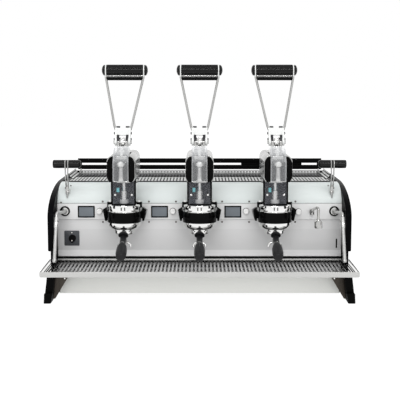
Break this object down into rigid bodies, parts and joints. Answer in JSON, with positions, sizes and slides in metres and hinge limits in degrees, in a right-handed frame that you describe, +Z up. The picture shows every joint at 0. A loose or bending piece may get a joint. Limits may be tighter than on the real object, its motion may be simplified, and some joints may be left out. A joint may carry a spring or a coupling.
{
  "type": "lever espresso machine",
  "caption": "Countertop espresso machine with spring levers, portafilters, steam wands, a hot water spout, drip tray and cup tray.",
  "frame": {"origin": "on the worktop under the middle of the machine", "axes": "+Z up, the operator at -Y, +X to the operator's right"},
  "size_m": [1.074, 0.7497, 0.8154],
  "materials": {
    "polished_steel": "polished",
    "satin_steel": "satin",
    "tray_steel": "polished",
    "pale_panel": "gloss",
    "black_paint": "semi-gloss",
    "dark_frame": "matte",
    "side_black": "satin",
    "black_plastic": "satin",
    "dark_display": "gloss",
    "clear_plastic": "clear",
    "spring_steel": "satin",
    "boiler_brass": "satin"
  },
  "bodies": {
    "machine": {"base_frame": "dark_frame", "rear_casing": "satin_steel", "upper_front_panel": "pale_panel", "control_panel": "pale_panel", "lower_front_panel": "pale_panel", "kick_panel": "pale_panel", "side_panel_left": "side_black", "side_panel_right": "side_black", "leg_frame_left": "black_paint", "leg_frame_right": "black_paint", "drip_tray": "satin_steel", "cup_tray": "tray_steel", "cup_rail": "black_paint", "steam_boiler": "boiler_brass", "group_body_1": "polished_steel", "housing_1": "black_paint", "clear_cover_1": "clear_plastic", "spring_1": "spring_steel", "guard_ring_1": "black_plastic", "display_1": "dark_display", "group_body_2": "polished_steel", "housing_2": "black_paint", "clear_cover_2": "clear_plastic", "spring_2": "spring_steel", "guard_ring_2": "black_plastic", "display_2": "dark_display", "group_body_3": "polished_steel", "housing_3": "black_paint", "clear_cover_3": "clear_plastic", "spring_3": "spring_steel", "guard_ring_3": "black_plastic", "display_3": "dark_display"},
    "lever_1": {"lever_fork_1": "polished_steel", "lever_grip_1": "black_plastic"},
    "piston_1": {"piston_1": "polished_steel"},
    "portafilter_1": {"portafilter_1": "polished_steel", "portafilter_handle_1": "black_plastic"},
    "brew_button_1": {"brew_button_1": "polished_steel"},
    "lever_2": {"lever_fork_2": "polished_steel", "lever_grip_2": "black_plastic"},
    "piston_2": {"piston_2": "polished_steel"},
    "portafilter_2": {"portafilter_2": "polished_steel", "portafilter_handle_2": "black_plastic"},
    "brew_button_2": {"brew_button_2": "polished_steel"},
    "lever_3": {"lever_fork_3": "polished_steel", "lever_grip_3": "black_plastic"},
    "piston_3": {"piston_3": "polished_steel"},
    "portafilter_3": {"portafilter_3": "polished_steel", "portafilter_handle_3": "black_plastic"},
    "brew_button_3": {"brew_button_3": "polished_steel"},
    "steam_lever_left": {"steam_lever_left": "polished_steel", "steam_grip_left": "black_plastic"},
    "steam_wand_left": {"steam_wand_left": "polished_steel"},
    "steam_lever_right": {"steam_lever_right": "polished_steel", "steam_grip_right": "black_plastic"},
    "steam_wand_right": {"steam_wand_right": "polished_steel"},
    "hot_water_spout": {"hot_water_spout": "polished_steel"},
    "hot_water_button": {"hot_water_button": "polished_steel"},
    "power_switch_knob": {"power_switch_knob": "black_plastic"},
    "drip_grate": {"drip_grate": "tray_steel"}
  },
  "joints": [
    {"name": "lever_pivot_1", "type": "hinge", "parent": "machine", "child": "lever_1", "pos_m": [-0.26, -0.232, 0.554], "axis": [1, 0, 0], "range_deg": [0, 120]},
    {"name": "piston_slide_1", "type": "slide", "parent": "machine", "child": "piston_1", "axis": [0, 0, 1], "range_m": [0, 0.0336], "stiffness_N_per_m": 3000, "springref_m": -0.02, "deforming": ["spring_1"]},
    {"name": "portafilter_lock_1", "type": "hinge", "parent": "machine", "child": "portafilter_1", "pos_m": [-0.26, -0.188, 0.25], "axis": [0, 0, 1], "range_deg": [-50, 0]},
    {"name": "brew_button_press_1", "type": "slide", "parent": "machine", "child": "brew_button_1", "axis": [0, 1, 0], "range_m": [0, 0.003], "stiffness_N_per_m": 400, "springref_m": -0.003},
    {"name": "lever_pivot_2", "type": "hinge", "parent": "machine", "child": "lever_2", "pos_m": [0, -0.232, 0.554], "axis": [1, 0, 0], "range_deg": [0, 120]},
    {"name": "piston_slide_2", "type": "slide", "parent": "machine", "child": "piston_2", "axis": [0, 0, 1], "range_m": [0, 0.0336], "stiffness_N_per_m": 3000, "springref_m": -0.02, "deforming": ["spring_2"]},
    {"name": "portafilter_lock_2", "type": "hinge", "parent": "machine", "child": "portafilter_2", "pos_m": [0, -0.188, 0.25], "axis": [0, 0, 1], "range_deg": [-50, 0]},
    {"name": "brew_button_press_2", "type": "slide", "parent": "machine", "child": "brew_button_2", "axis": [0, 1, 0], "range_m": [0, 0.003], "stiffness_N_per_m": 400, "springref_m": -0.003},
    {"name": "lever_pivot_3", "type": "hinge", "parent": "machine", "child": "lever_3", "pos_m": [0.26, -0.232, 0.554], "axis": [1, 0, 0], "range_deg": [0, 120]},
    {"name": "piston_slide_3", "type": "slide", "parent": "machine", "child": "piston_3", "axis": [0, 0, 1], "range_m": [0, 0.0336], "stiffness_N_per_m": 3000, "springref_m": -0.02, "deforming": ["spring_3"]},
    {"name": "portafilter_lock_3", "type": "hinge", "parent": "machine", "child": "portafilter_3", "pos_m": [0.26, -0.188, 0.25], "axis": [0, 0, 1], "range_deg": [-50, 0]},
    {"name": "brew_button_press_3", "type": "slide", "parent": "machine", "child": "brew_button_3", "axis": [0, 1, 0], "range_m": [0, 0.003], "stiffness_N_per_m": 400, "springref_m": -0.003},
    {"name": "steam_lever_pivot_left", "type": "hinge", "parent": "machine", "child": "steam_lever_left", "pos_m": [-0.469, -0.082, 0.369], "axis": [-1, 0, 0], "range_deg": [0, 25]},
    {"name": "steam_wand_swing_left", "type": "hinge", "parent": "machine", "child": "steam_wand_left", "pos_m": [-0.478, -0.099, 0.3], "axis": [0, -1, 0], "range_deg": [0, 35]},
    {"name": "steam_lever_pivot_right", "type": "hinge", "parent": "machine", "child": "steam_lever_right", "pos_m": [0.469, -0.082, 0.369], "axis": [-1, 0, 0], "range_deg": [0, 25]},
    {"name": "steam_wand_swing_right", "type": "hinge", "parent": "machine", "child": "steam_wand_right", "pos_m": [0.478, -0.099, 0.3], "axis": [0, 1, 0], "range_deg": [0, 35]},
    {"name": "hot_water_swivel", "type": "hinge", "parent": "machine", "child": "hot_water_spout", "pos_m": [0.398, -0.103, 0.2985], "axis": [0, 0, 1], "range_deg": [-25, 25]},
    {"name": "hot_water_button_press", "type": "slide", "parent": "machine", "child": "hot_water_button", "axis": [0, 1, 0], "range_m": [0, 0.003], "stiffness_N_per_m": 400, "springref_m": -0.003},
    {"name": "power_switch_turn", "type": "hinge", "parent": "machine", "child": "power_switch_knob", "pos_m": [-0.453, -0.087, 0.2025], "axis": [0, 1, 0], "range_deg": [0, 90]},
    {"name": "drip_grate_lift", "type": "slide", "parent": "machine", "child": "drip_grate", "axis": [0, 0, 1], "range_m": [0, 0.012]}
  ],
  "couplings": [
    {"joint": "piston_slide_1", "follows": "lever_pivot_1", "m_per_rad": 0.016},
    {"joint": "piston_slide_2", "follows": "lever_pivot_2", "m_per_rad": 0.016},
    {"joint": "piston_slide_3", "follows": "lever_pivot_3", "m_per_rad": 0.016}
  ]
}
